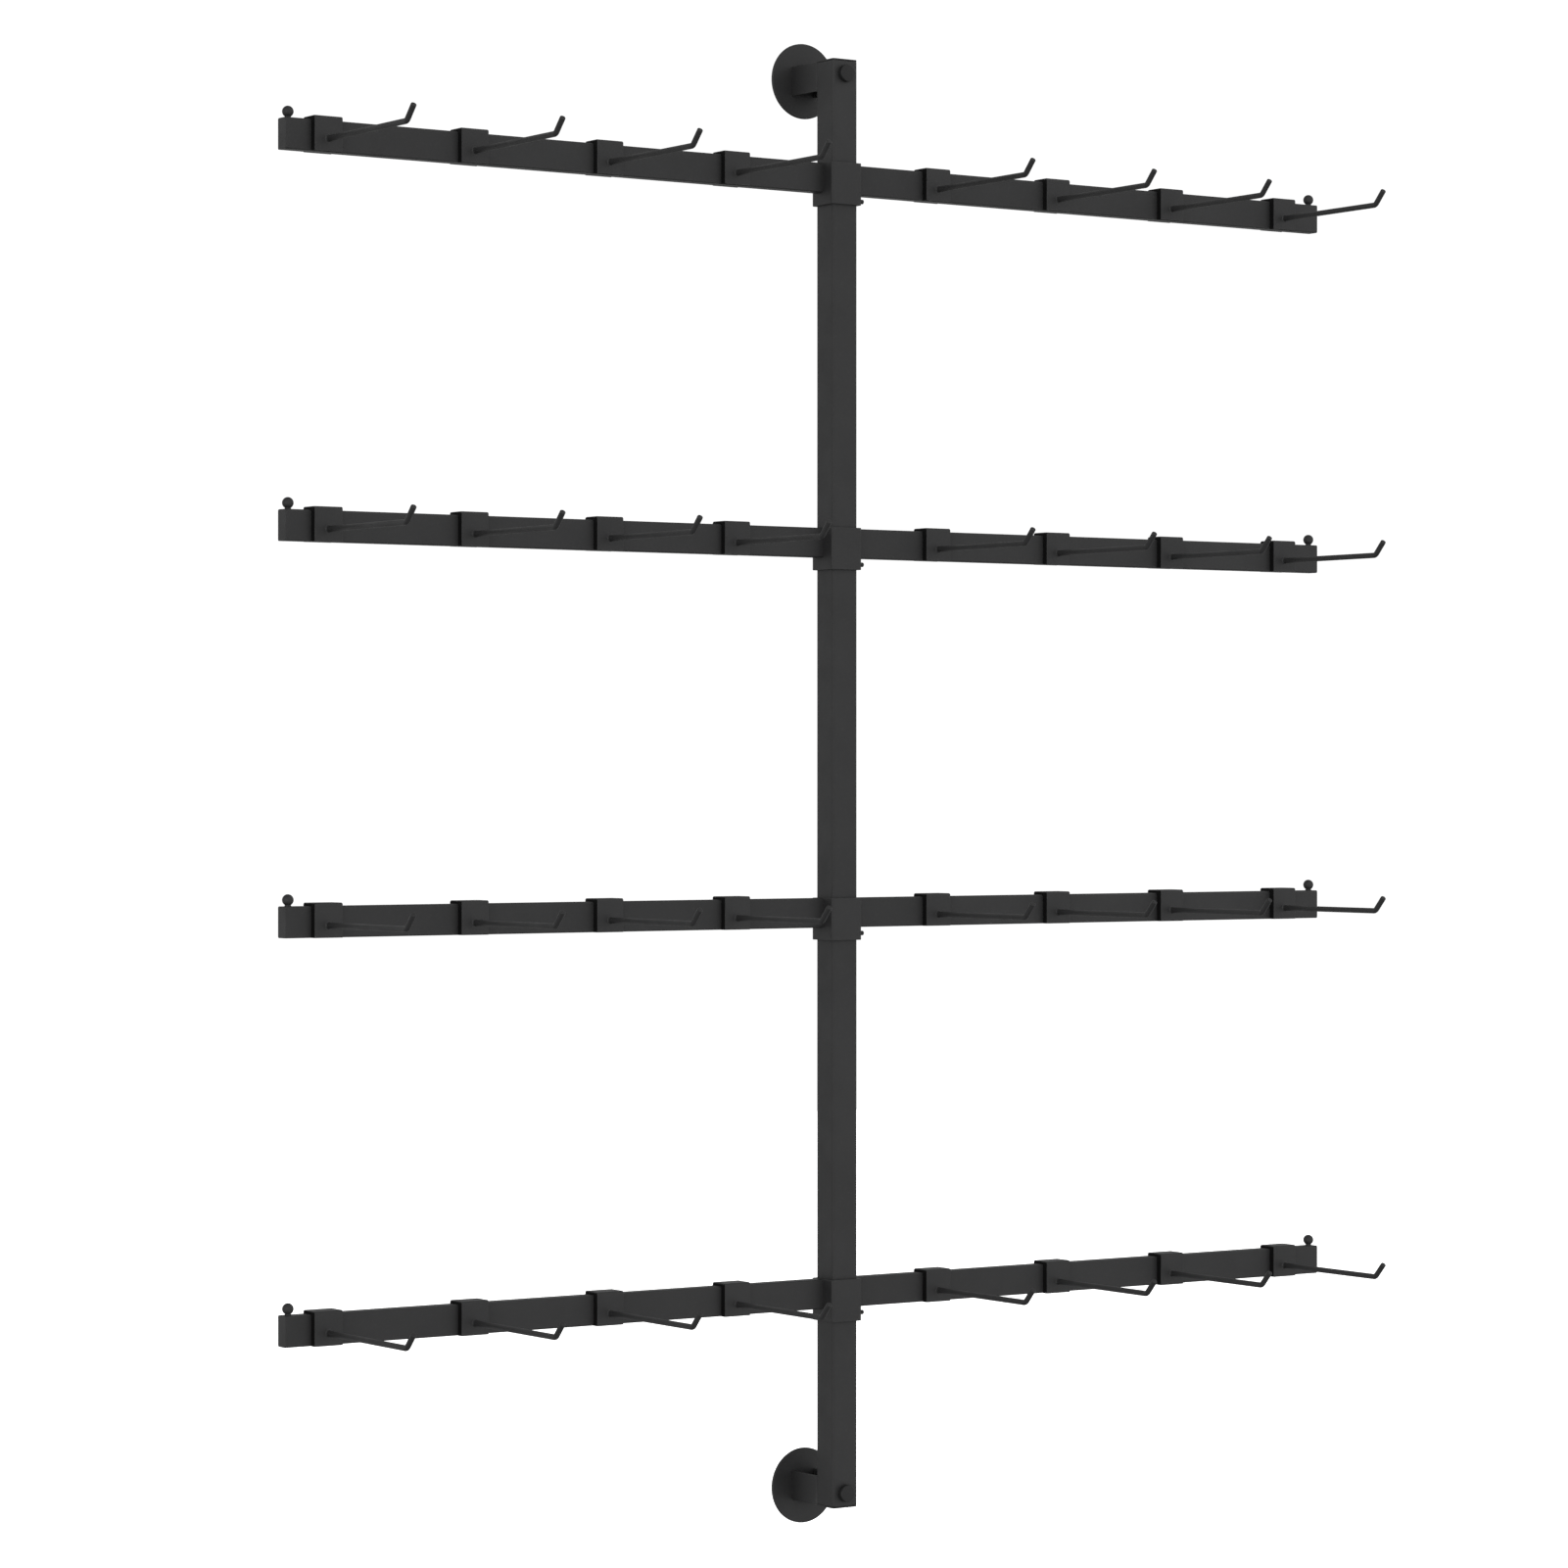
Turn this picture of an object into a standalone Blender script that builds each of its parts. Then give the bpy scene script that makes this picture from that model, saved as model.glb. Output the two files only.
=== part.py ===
"""Wall-mounted four-tier display rack with sliding hooks.

A square post stands off the wall on two round flanges. Four arms are clamped to the
post by sleeves and slide up and down it. Each arm is a flat rail that carries eight
hooks, and each hook hangs on the rail by a bent sheet clip and slides along it.

Frame: the origin is the centre of the lower flange's back face. +X runs along the arms,
+Y points into the wall and +Z is up. All sizes are in metres.
"""
from math import cos, pi, radians, sin

import bmesh
import bpy
from mathutils import Matrix, Vector

RACK_NAME = "display_rack"
CUTTER_COLLECTION = "cutters"
FIT_GAP = 0.0003            # clearance between touching pieces

# Post: square tube, vertical
POST_WIDTH = 0.030
POST_WALL = 0.002
POST_CORNER = 0.0025
POST_LENGTH = 1.466
POST_CAP_HEAD = 0.002
POST_CAP_INSERT = 0.007
POST_CAP_SKIRT_WALL = 0.002

# Wall fixing: flange, standoff channel and the bolt that holds the post
FLANGE_RADIUS = 0.0384
FLANGE_THICKNESS = 0.003
FLANGE_EDGE = 0.0008
FLANGE_INSET = 0.0141       # flange centre to the nearer end of the post
FLANGE_SPACING = POST_LENGTH - 2 * FLANGE_INSET
WALL_HOLE_RADIUS = 0.0026
WALL_HOLE_OFFSET = 0.0075
POST_AXIS_Y = -0.0623
STANDOFF_WALL = 0.0025
STANDOFF_NOSE = 0.004
BOLT_INSET = 0.0148         # bolt axis to the nearer end of the post
BOLT_HEAD_RADIUS = 0.0087
BOLT_HEAD_HEIGHT = 0.0062
BOLT_DOME = 0.0013
BOLT_RADIUS = 0.005
BOLT_TIP_LENGTH = 0.003
NUT_RADIUS = 0.0098
NUT_HEIGHT = 0.008

# Arm: rail halves welded to a sleeve
RAIL_HALF_LENGTH = 0.6335
RAIL_HEIGHT = 0.030
RAIL_DEPTH = 0.015
RAIL_WALL = 0.0015
RAIL_CORNER = 0.0015
RAIL_BEHIND_POST = 0.005    # rail's centre plane behind the post's axis
SLEEVE_CLEARANCE = 0.00035
SLEEVE_WALL = 0.003
SLEEVE_CORNER = 0.0025
SLEEVE_HEIGHT = 0.0426
SLEEVE_ABOVE_RAIL = 0.0002  # sleeve's top above the rail's top
ARM_HEIGHTS = (0.2019, 0.5877, 0.9625, 1.3318)
SET_SCREW_RADIUS = 0.0023
SET_SCREW_DROP = 0.0212     # screw axis below the rail's centre
SET_SCREW_PROUD = 0.0139
END_PLATE = 0.002           # welded over each outer end of the rail

# Ball-topped stop pin at each end of a rail
PIN_FROM_END = 0.0067
PIN_BALL_RADIUS = 0.0055
PIN_BALL_CENTRE = 0.006     # above the rail's top
PIN_NECK_RADIUS = 0.003
PIN_SHANK_RADIUS = 0.0025
PIN_SHANK_LENGTH = 0.010

# Hook: bent sheet clip with a wire peg welded to its face
HOOK_PLACES = (-0.5905, -0.4301, -0.2765, -0.1267, 0.1208, 0.2753, 0.4268, 0.5817)
CLIP_WIDTH = 0.0300
CLIP_SHEET = 0.0012
CLIP_FRONT_SPACE = 0.0056   # rail's front face to the inside of the clip's face
CLIP_TOP_SPACE = 0.0020
CLIP_REAR_SPACE = 0.0003
CLIP_BEND = 0.0022
PEG_RADIUS = 0.00285
PEG_REACH = 0.1481          # clip's face to the corner of the upturned tip
PEG_DROP = 0.0032           # peg axis below the rail's centre
PEG_TIP_FORWARD = 0.0131
PEG_TIP_RISE = 0.0142
PEG_BEND_RADIUS = 0.006
PEG_ROOT_DEPTH = 0.0008     # how far the peg's end is sunk in the clip's face

PAINT = ("black_powder_coat", (0.040, 0.040, 0.041), 0.55, 0.0)
PLASTIC = ("black_plastic", (0.035, 0.035, 0.036), 0.60, 0.0)
STEEL = ("blackened_steel", (0.045, 0.045, 0.047), 0.45, 0.6)


# ---------------------------------------------------------------- scene set-up

def clear_scene():
    for obj in list(bpy.data.objects):
        bpy.data.objects.remove(obj, do_unlink=True)


def make_collection(name):
    collection = bpy.data.collections.new(name)
    bpy.context.scene.collection.children.link(collection)
    return collection


def make_material(name, colour, roughness, metallic):
    material = bpy.data.materials.get(name)
    if material:
        return material
    material = bpy.data.materials.new(name)
    material.use_nodes = True
    shader = material.node_tree.nodes["Principled BSDF"]
    shader.inputs["Base Color"].default_value = (*colour, 1.0)
    shader.inputs["Roughness"].default_value = roughness
    shader.inputs["Metallic"].default_value = metallic
    material.diffuse_color = (*colour, 1.0)
    return material


def place(obj, finish, parent=None):
    """Gives an object its material and, if it moves, the empty it rides on."""
    obj.data.materials.clear()
    obj.data.materials.append(make_material(*finish))
    if parent:
        obj.parent = parent
    return obj


def make_empty(name, location, parent=None):
    empty = bpy.data.objects.new(name, None)
    empty.location = location
    empty.parent = parent
    rack.objects.link(empty)
    return empty


# ---------------------------------------------------------------- shape tools

def to_mesh(obj):
    """Evaluates an object, keeps the result as its mesh and welds loose caps."""
    bpy.context.view_layer.update()
    graph = bpy.context.evaluated_depsgraph_get()
    mesh = bpy.data.meshes.new_from_object(obj.evaluated_get(graph))
    work = bmesh.new()
    work.from_mesh(mesh)
    bmesh.ops.remove_doubles(work, verts=work.verts, dist=0.000001)
    bmesh.ops.recalc_face_normals(work, faces=work.faces)
    work.to_mesh(mesh)
    work.free()
    solid = bpy.data.objects.new(obj.name, mesh)
    solid.matrix_world = obj.matrix_world.copy()
    name = obj.name
    for collection in obj.users_collection:
        collection.objects.link(solid)
    bpy.data.objects.remove(obj, do_unlink=True)
    solid.name = name
    return solid


def combine(obj, other, operation):
    """Adds or cuts another object by an exact Boolean, and removes that object."""
    modifier = obj.modifiers.new(operation.lower(), "BOOLEAN")
    modifier.operation = operation
    modifier.solver = "EXACT"
    modifier.object = other
    solid = to_mesh(obj)
    bpy.data.objects.remove(other, do_unlink=True)
    return solid


def union(obj, *others):
    for other in others:
        obj = combine(obj, other, "UNION")
    return obj


def cut(obj, *tools):
    for tool in tools:
        tool.hide_render = True
        tool.display_type = "WIRE"
        obj = combine(obj, tool, "DIFFERENCE")
    return obj


def link_mesh(name, work, collection):
    mesh = bpy.data.meshes.new(name)
    work.to_mesh(mesh)
    work.free()
    obj = bpy.data.objects.new(name, mesh)
    collection.objects.link(obj)
    return obj


def box(name, low, high, collection=None):
    low, high = Vector(low), Vector(high)
    work = bmesh.new()
    bmesh.ops.create_cube(work, size=1.0)
    bmesh.ops.scale(work, vec=high - low, verts=work.verts)
    bmesh.ops.translate(work, vec=(low + high) / 2, verts=work.verts)
    return link_mesh(name, work, collection or rack)


def rod(name, radius, start, end, sides, collection=None):
    """A cylinder between two points; its ends are flat."""
    start, end = Vector(start), Vector(end)
    axis = end - start
    turn = axis.to_track_quat("Z", "Y").to_matrix().to_4x4()
    work = bmesh.new()
    bmesh.ops.create_cone(
        work, cap_ends=True, segments=sides, radius1=radius, radius2=radius,
        depth=axis.length, matrix=Matrix.Translation((start + end) / 2) @ turn)
    return link_mesh(name, work, collection or rack)


def arc(centre, radius, start_deg, end_deg, steps):
    step = (end_deg - start_deg) / steps
    angles = [radians(start_deg + step * i) for i in range(steps + 1)]
    return [(centre[0] + radius * cos(a), centre[1] + radius * sin(a)) for a in angles]


def rounded_rectangle(width, height, corner, steps=2):
    x, y = width / 2 - corner, height / 2 - corner
    points = []
    for centre, start in (((x, y), 0), ((-x, y), 90), ((-x, -y), 180), ((x, -y), 270)):
        points += arc(centre, corner, start, start + 90, steps)
    return points


def extrude_outline(name, outlines, length, turn=None, centre=(0, 0, 0)):
    """Fills closed 2D outlines (an inner one is a hole) and extrudes them."""
    curve = bpy.data.curves.new(name, "CURVE")
    curve.dimensions = "2D"
    curve.fill_mode = "BOTH"
    curve.extrude = length / 2
    for outline in outlines:
        spline = curve.splines.new("POLY")
        spline.points.add(len(outline) - 1)
        for point, (x, y) in zip(spline.points, outline):
            point.co = (x, y, 0, 1)
        spline.use_cyclic_u = True
    obj = bpy.data.objects.new(name, curve)
    rack.objects.link(obj)
    solid = to_mesh(obj)
    solid.data.transform(Matrix.Translation(centre) @ (turn or Matrix()))
    return solid


def turned(name, profile, steps, turn=None, centre=(0, 0, 0)):
    """Spins a profile of (radius, height) points, listed from top to bottom, about Z."""
    mesh = bpy.data.meshes.new(name)
    edges = [(i, i + 1) for i in range(len(profile) - 1)]
    mesh.from_pydata([(r, 0, z) for r, z in profile], edges, [])
    obj = bpy.data.objects.new(name, mesh)
    rack.objects.link(obj)
    screw = obj.modifiers.new("turn", "SCREW")
    screw.axis = "Z"
    screw.steps = steps
    screw.render_steps = steps
    screw.use_merge_vertices = True
    screw.merge_threshold = 0.00001
    solid = to_mesh(obj)
    solid.data.transform(Matrix.Translation(centre) @ (turn or Matrix()))
    return solid


def shade_round(obj, angle_deg=35):
    obj.data.shade_smooth()
    obj.data.set_sharp_from_angle(angle=radians(angle_deg))
    return obj


# Turns for pieces drawn about Z: their axis or extrusion ends up along +X or -Y
ALONG_X = Matrix(((0, 0, 1, 0), (1, 0, 0, 0), (0, 1, 0, 0), (0, 0, 0, 1)))
TOWARDS_ROOM = Matrix.Rotation(radians(90), 4, "X")


# ---------------------------------------------------------------- post and wall fixing

POST_BOTTOM = -FLANGE_INSET
POST_TOP = POST_BOTTOM + POST_LENGTH
POST_MIDDLE = (POST_BOTTOM + POST_TOP) / 2
POST_FRONT_Y = POST_AXIS_Y - POST_WIDTH / 2
POST_BACK_Y = POST_AXIS_Y + POST_WIDTH / 2
BOLT_HEIGHTS = {"lower": POST_BOTTOM + BOLT_INSET, "upper": POST_TOP - BOLT_INSET}
FLANGE_HEIGHTS = {"lower": 0.0, "upper": FLANGE_SPACING}
POST_ENDS = {"lower": POST_BOTTOM, "upper": POST_TOP}


def make_post():
    bore = POST_WIDTH - 2 * POST_WALL
    outlines = [rounded_rectangle(POST_WIDTH, POST_WIDTH, POST_CORNER, 3),
                rounded_rectangle(bore, bore, POST_CORNER - POST_WALL, 1)]
    length = POST_LENGTH - 2 * POST_CAP_HEAD
    post = extrude_outline("post", outlines, length, centre=(0, POST_AXIS_Y, POST_MIDDLE))
    for side, height in BOLT_HEIGHTS.items():
        drill = rod(side + "_bolt_drill", BOLT_RADIUS + FIT_GAP,
                    (0, POST_FRONT_Y - 0.01, height), (0, POST_BACK_Y + 0.01, height),
                    16, cutters)
        post = cut(post, drill)
    return place(post, PAINT)


def make_post_cap(side, name):
    """A plug: a flat head the size of the post and a hollow skirt inside it."""
    up = 1 if side == "upper" else -1
    end = POST_ENDS[side]
    head = extrude_outline(
        name, [rounded_rectangle(POST_WIDTH, POST_WIDTH, POST_CORNER, 3)],
        POST_CAP_HEAD - FIT_GAP,
        centre=(0, POST_AXIS_Y, end - up * (POST_CAP_HEAD - FIT_GAP) / 2))
    half = POST_WIDTH / 2 - POST_WALL - FIT_GAP
    top, bottom = sorted((end - up * POST_CAP_HEAD / 2,
                          end - up * (POST_CAP_HEAD + POST_CAP_INSERT)), reverse=True)
    insert = box(name + "_skirt", (-half, POST_AXIS_Y - half, bottom),
                 (half, POST_AXIS_Y + half, top))
    inner = half - POST_CAP_SKIRT_WALL
    hollow_far = end - up * (POST_CAP_HEAD + POST_CAP_INSERT + 0.001)
    hollow_near = end - up * (POST_CAP_HEAD + 0.001)
    low, high = sorted((hollow_far, hollow_near))
    hollow = box(name + "_hollow", (-inner, POST_AXIS_Y - inner, low),
                 (inner, POST_AXIS_Y + inner, high), cutters)
    return place(cut(union(head, insert), hollow), PLASTIC)


def make_flange(side):
    """A round plate against the wall, with two screw holes inside the channel."""
    height = FLANGE_HEIGHTS[side]
    front, edge = FLANGE_THICKNESS, FLANGE_EDGE
    rim = FLANGE_RADIUS - edge
    profile = [(0, front), *[(x, y) for x, y in reversed(
        arc((rim, front - edge), edge, 0, 90, 2))], (FLANGE_RADIUS, 0), (0, 0)]
    flange = turned(side + "_wall_flange", profile, 48, TOWARDS_ROOM, (0, 0, height))
    for shift in (-WALL_HOLE_OFFSET, WALL_HOLE_OFFSET):
        drill = rod(side + "_wall_drill", WALL_HOLE_RADIUS, (shift, -0.01, height),
                    (shift, 0.01, height), 12, cutters)
        flange = cut(flange, drill)
    return place(shade_round(flange), PAINT)


def make_standoff(side):
    """A channel from flange to post, open towards the post's middle."""
    up = 1 if side == "upper" else -1
    end = POST_ENDS[side]
    half = POST_WIDTH / 2
    front = POST_BACK_Y + FIT_GAP
    back = -FLANGE_THICKNESS - FIT_GAP
    low, high = sorted((end, end - up * POST_WIDTH))
    standoff = box(side + "_standoff", (-half, front, low), (half, back, high))
    bevel = standoff.modifiers.new("edges", "BEVEL")
    bevel.width = 0.0012
    bevel.segments = 1
    bevel.limit_method = "ANGLE"
    standoff = to_mesh(standoff)
    inner = half - STANDOFF_WALL
    low, high = sorted((end - up * STANDOFF_WALL, end - up * (POST_WIDTH + 0.01)))
    hollow = box(side + "_channel_cut", (-inner, front + STANDOFF_NOSE, low),
                 (inner, back + 0.01, high), cutters)
    drill = rod(side + "_nose_drill", BOLT_RADIUS + FIT_GAP,
                (0, front - 0.01, BOLT_HEIGHTS[side]),
                (0, front + 0.01, BOLT_HEIGHTS[side]), 16, cutters)
    return place(cut(standoff, hollow, drill), PAINT)


def make_bolt(side):
    """Round-headed bolt through the post and the standoff's nose into the nut."""
    head, radius, dome = BOLT_HEAD_HEIGHT, BOLT_HEAD_RADIUS, BOLT_DOME
    shank = POST_WIDTH + STANDOFF_NOSE + NUT_HEIGHT + BOLT_TIP_LENGTH
    profile = [(0, head), (radius * 0.5, head - dome * 0.2), (radius * 0.85, head - dome * 0.7),
               (radius, head - dome * 1.6), (radius, FIT_GAP), (BOLT_RADIUS, FIT_GAP),
               (BOLT_RADIUS, -shank), (0, -shank)]
    bolt = turned(side + "_bolt", profile, 20, TOWARDS_ROOM,
                  (0, POST_FRONT_Y, BOLT_HEIGHTS[side]))
    return place(shade_round(bolt), STEEL)


def make_nut(side):
    start = POST_BACK_Y + STANDOFF_NOSE + 2 * FIT_GAP
    height = BOLT_HEIGHTS[side]
    nut = rod(side + "_bolt_nut", NUT_RADIUS, (0, start, height),
              (0, start + NUT_HEIGHT, height), 6)
    thread = rod(side + "_nut_thread", BOLT_RADIUS + FIT_GAP, (0, start - 0.01, height),
                 (0, start + NUT_HEIGHT + 0.01, height), 12, cutters)
    return place(cut(nut, thread), STEEL)


# ---------------------------------------------------------------- arms

RAIL_AXIS_Y = POST_AXIS_Y + RAIL_BEHIND_POST
SLEEVE_OUTSIDE = POST_WIDTH + 2 * SLEEVE_CLEARANCE + 2 * SLEEVE_WALL
SLEEVE_MIDDLE_Z = RAIL_HEIGHT / 2 + SLEEVE_ABOVE_RAIL - SLEEVE_HEIGHT / 2
PIN_X = RAIL_HALF_LENGTH - PIN_FROM_END


def make_rail(name, side):
    """Half of the rail: hollow, closed at its outer end and drilled for the stop pin."""
    inner_end = SLEEVE_OUTSIDE / 2 - SLEEVE_WALL / 2
    hollow_end = RAIL_HALF_LENGTH - END_PLATE
    rail = extrude_outline(
        name, [rounded_rectangle(RAIL_DEPTH, RAIL_HEIGHT, RAIL_CORNER, 2)],
        RAIL_HALF_LENGTH - inner_end, ALONG_X,
        (side * (inner_end + RAIL_HALF_LENGTH) / 2, RAIL_AXIS_Y, 0))
    near, far = sorted((side * (inner_end - 0.001), side * hollow_end))
    half_depth, half_height = RAIL_DEPTH / 2 - RAIL_WALL, RAIL_HEIGHT / 2 - RAIL_WALL
    hollow = box(name + "_hollow", (near, RAIL_AXIS_Y - half_depth, -half_height),
                 (far, RAIL_AXIS_Y + half_depth, half_height), cutters)
    drill = rod(name + "_pin_drill", PIN_SHANK_RADIUS + FIT_GAP,
                (side * PIN_X, RAIL_AXIS_Y, 0), (side * PIN_X, RAIL_AXIS_Y, RAIL_HEIGHT),
                12, cutters)
    return cut(rail, hollow, drill)


def make_arm_mesh():
    """Both rail halves and the sleeve, welded; drawn about the rail's centre height."""
    bore = SLEEVE_OUTSIDE - 2 * SLEEVE_WALL
    sleeve = extrude_outline(
        "sleeve", [rounded_rectangle(SLEEVE_OUTSIDE, SLEEVE_OUTSIDE, SLEEVE_CORNER, 2)],
        SLEEVE_HEIGHT, centre=(0, POST_AXIS_Y, SLEEVE_MIDDLE_Z))
    frame = union(sleeve, make_rail("left_rail", -1), make_rail("right_rail", 1))
    bore_cut = extrude_outline("bore_cut", [rounded_rectangle(bore, bore, 0.001, 1)],
                               2 * SLEEVE_HEIGHT, centre=(0, POST_AXIS_Y, SLEEVE_MIDDLE_Z))
    drill = rod("screw_drill", SET_SCREW_RADIUS + FIT_GAP,
                (bore / 4, POST_AXIS_Y, -SET_SCREW_DROP),
                (SLEEVE_OUTSIDE, POST_AXIS_Y, -SET_SCREW_DROP), 12, cutters)
    return cut(frame, bore_cut, drill)


def make_stop_pin(name):
    """Ball, neck and shank, drawn about the point where its axis meets the rail's top."""
    neck_angle = -radians(58)
    ball = arc((0, PIN_BALL_CENTRE), PIN_BALL_RADIUS, 90, -58, 7)
    neck_top = PIN_BALL_CENTRE + PIN_BALL_RADIUS * sin(neck_angle)
    ball[0] = (0, PIN_BALL_CENTRE + PIN_BALL_RADIUS)
    profile = [*ball, (PIN_NECK_RADIUS, neck_top - 0.0005), (PIN_NECK_RADIUS, FIT_GAP),
               (PIN_SHANK_RADIUS, FIT_GAP), (PIN_SHANK_RADIUS, -PIN_SHANK_LENGTH),
               (0, -PIN_SHANK_LENGTH)]
    return shade_round(turned(name, profile, 12))


def make_set_screw(name):
    """Drawn along +X from the post's side; its origin is on its own axis."""
    tip = POST_WIDTH / 2 + SLEEVE_CLEARANCE * 0.6
    end = SLEEVE_OUTSIDE / 2 + SET_SCREW_PROUD
    radius, edge = SET_SCREW_RADIUS, 0.0004
    profile = [(0, end), (radius - edge, end), (radius, end - edge), (radius, tip), (0, tip)]
    return shade_round(turned(name, profile, 16, ALONG_X))


# ---------------------------------------------------------------- hooks

def clip_outline():
    """Side view of the clip as (y, z) points: face, bend, top, bend, rear leg."""
    front = -RAIL_DEPTH / 2 - CLIP_FRONT_SPACE - CLIP_SHEET
    rear = RAIL_DEPTH / 2 + CLIP_REAR_SPACE + CLIP_SHEET
    top = RAIL_HEIGHT / 2 + CLIP_TOP_SPACE + CLIP_SHEET
    foot = -RAIL_HEIGHT / 2
    bend, inside = CLIP_BEND, CLIP_BEND - CLIP_SHEET
    front_centre = (front + bend, top - bend)
    rear_centre = (rear - bend, top - bend)
    outer = [(front, foot), *arc(front_centre, bend, 180, 90, 3),
             *arc(rear_centre, bend, 90, 0, 3), (rear, foot)]
    inner = [(rear - CLIP_SHEET, foot), *arc(rear_centre, inside, 0, 90, 2),
             *arc(front_centre, inside, 90, 180, 2), (front + CLIP_SHEET, foot)]
    return outer + inner, front


def peg_path(start_y):
    """Straight peg towards the room, a rounded corner and the upturned tip."""
    corner = Vector((0, start_y - PEG_REACH, 0))
    tip = corner + Vector((0, -PEG_TIP_FORWARD, PEG_TIP_RISE))
    into = Vector((0, -1, 0))
    out = (tip - corner).normalized()
    turn = into.angle(out)
    setback = PEG_BEND_RADIUS * sin(turn / 2) / cos(turn / 2)
    centre = corner - into * setback + Vector((0, 0, PEG_BEND_RADIUS))
    steps = 3
    points = [Vector((0, start_y + PEG_ROOT_DEPTH, 0))]
    for i in range(steps + 1):
        angle = turn * i / steps
        points.append(centre + PEG_BEND_RADIUS * Vector((0, -sin(angle), -cos(angle))))
    points.append(tip)
    return points


def make_peg(start_y):
    curve = bpy.data.curves.new("peg", "CURVE")
    curve.dimensions = "3D"
    curve.bevel_depth = PEG_RADIUS
    curve.bevel_resolution = 2
    curve.use_fill_caps = True
    spline = curve.splines.new("POLY")
    points = peg_path(start_y)
    spline.points.add(len(points) - 1)
    for point, place_at in zip(spline.points, points):
        point.co = (*(place_at + Vector((0, 0, -PEG_DROP))), 1)
    obj = bpy.data.objects.new("peg", curve)
    rack.objects.link(obj)
    return to_mesh(obj)


def make_hook_mesh():
    """One clip with its peg, drawn about the rail's centre line."""
    outline, front = clip_outline()
    clip = extrude_outline("hook", [outline], CLIP_WIDTH, ALONG_X)
    return shade_round(union(clip, make_peg(front)), 40)


# ---------------------------------------------------------------- assembly

def share(name, master, parent, location=(0, 0, 0)):
    obj = bpy.data.objects.new(name, master.data)
    obj.location = location
    obj.parent = parent
    rack.objects.link(obj)
    return obj


def make_arms():
    masters = {
        "frame": place(make_arm_mesh(), PAINT),
        "stop_pin": place(make_stop_pin("stop_pin"), PAINT),
        "set_screw": place(make_set_screw("set_screw"), STEEL),
        "hook": place(make_hook_mesh(), PAINT),
    }
    for number, height in enumerate(ARM_HEIGHTS, start=1):
        arm = make_empty(f"arm_{number}", (0, 0, height))
        share(f"arm_{number}_frame", masters["frame"], arm)
        for side, sign in (("left", -1), ("right", 1)):
            share(f"arm_{number}_{side}_stop_pin", masters["stop_pin"], arm,
                  (sign * PIN_X, RAIL_AXIS_Y, RAIL_HEIGHT / 2))
        share(f"arm_{number}_set_screw", masters["set_screw"], arm,
              (0, POST_AXIS_Y, -SET_SCREW_DROP))
        for place_number, x in enumerate(HOOK_PLACES, start=1):
            share(f"arm_{number}_hook_{place_number}", masters["hook"], arm,
                  (x, RAIL_AXIS_Y, 0))
    for master in masters.values():
        bpy.data.objects.remove(master, do_unlink=True)


clear_scene()
rack = make_collection(RACK_NAME)
cutters = make_collection(CUTTER_COLLECTION)
make_post()
make_post_cap("upper", "post_top_cap")
make_post_cap("lower", "post_bottom_cap")
for end_name in ("lower", "upper"):
    make_flange(end_name)
    make_standoff(end_name)
    make_bolt(end_name)
    make_nut(end_name)
make_arms()
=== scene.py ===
"""Looks of the wall-mounted rack: fine meshes, finishes, lights and camera.

Everything is in metres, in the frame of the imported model: +X along the arms, +Y into the
wall, +Z up.
"""

from math import cos, pi, radians, sin, tan

import bmesh
import bpy
from mathutils import Matrix, Vector


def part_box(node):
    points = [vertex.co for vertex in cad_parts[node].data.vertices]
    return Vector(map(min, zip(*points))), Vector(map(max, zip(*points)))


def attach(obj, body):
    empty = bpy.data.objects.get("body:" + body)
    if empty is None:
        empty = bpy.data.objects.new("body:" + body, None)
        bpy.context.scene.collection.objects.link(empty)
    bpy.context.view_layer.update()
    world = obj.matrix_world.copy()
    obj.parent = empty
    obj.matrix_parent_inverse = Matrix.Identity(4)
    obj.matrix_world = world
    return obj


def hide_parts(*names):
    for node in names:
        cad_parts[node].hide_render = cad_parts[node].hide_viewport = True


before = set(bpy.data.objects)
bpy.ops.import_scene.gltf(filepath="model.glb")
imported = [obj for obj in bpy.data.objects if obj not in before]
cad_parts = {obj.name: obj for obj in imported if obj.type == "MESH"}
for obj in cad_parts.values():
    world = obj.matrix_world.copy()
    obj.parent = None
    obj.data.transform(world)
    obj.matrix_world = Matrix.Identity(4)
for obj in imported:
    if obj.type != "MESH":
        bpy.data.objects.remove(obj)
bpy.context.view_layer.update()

ARMS = 4
HOOKS = 8

# Sizes that the solids' boxes don't give, part by part

# Shared by several parts
HAIR_GAP = 0.00003  # between two pieces that touch
FINE_STEP = 0.0002  # a short step at the start or end of a profile
AXIS = 0.0001  # a turned profile stops this close to its axis

# Post and its plugs
POST_CORNER = 0.0025
POST_RIM = 0.0003
CAP_HEAD = 0.0017
CAP_EDGE = 0.0006
CAP_SHANK_INSET = 0.0023
CAP_SHANK_CORNER = 0.0006
CAP_SHANK_LENGTH = 0.007

# Wall flanges
FLANGE_EDGE = 0.0008
FLANGE_SIDES = 128
WALL_HOLE_OFFSET = 0.0075
WALL_HOLE_RADIUS = 0.0026
WALL_HOLE_SIDES = 24

# Standoffs and the paint fillets that join them to the post
STANDOFF_WALL = 0.0025
STANDOFF_NOSE = 0.004
STANDOFF_CORNER = 0.0020
STANDOFF_INNER_CORNER = 0.0008
STANDOFF_RIM = 0.0002
NOSE_RIM = 0.0003
NOSE_OVERLAP = 0.0005
FILLET_SWEEP = 70  # degrees of the post's rear corner that the fillet follows
FILLET_STEP = 7
FILLET_INSET = 0.0001
FILLET_OVERLAP = 0.0006
FILLET_END_GAP = 0.0003

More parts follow.
